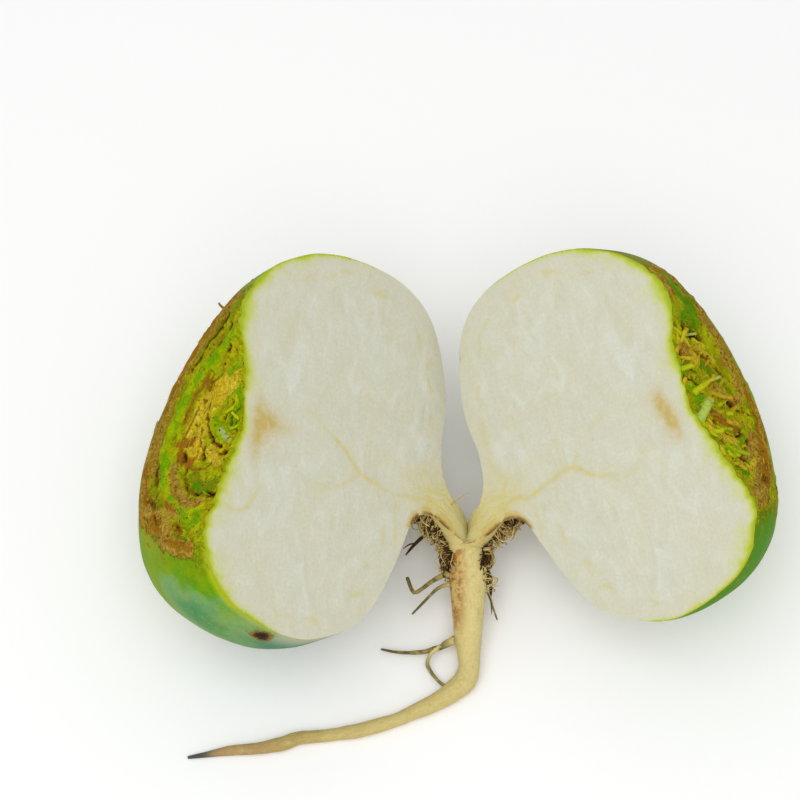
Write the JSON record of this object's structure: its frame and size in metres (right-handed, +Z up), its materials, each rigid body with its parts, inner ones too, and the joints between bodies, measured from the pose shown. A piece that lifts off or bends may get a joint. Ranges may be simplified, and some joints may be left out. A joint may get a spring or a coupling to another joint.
{
  "type": "split turnip",
  "caption": "Whole turnip split lengthwise from crown to neck and opened like a book, both white cut halves still joined at one long tap root.",
  "frame": {"origin": "on the surface that the turnip lies on, under the middle of its bounding box", "axes": "+X from the left half to the right half, as seen from the root's side; +Y from the root's side to the back; +Z up"},
  "size_m": [0.1581, 0.1177, 0.0676],
  "materials": {
    "skin": "smooth waxy skin, green at the shoulders fading to white below",
    "flesh": "moist white cut flesh with faint yellow veins",
    "crown": "cut green leaf stalks and brown corky leaf scars",
    "root": "cream tap root with tan stains and thin side roots"
  },
  "bodies": {
    "root": {"turnip": "skin"}
  },
  "joints": []
}
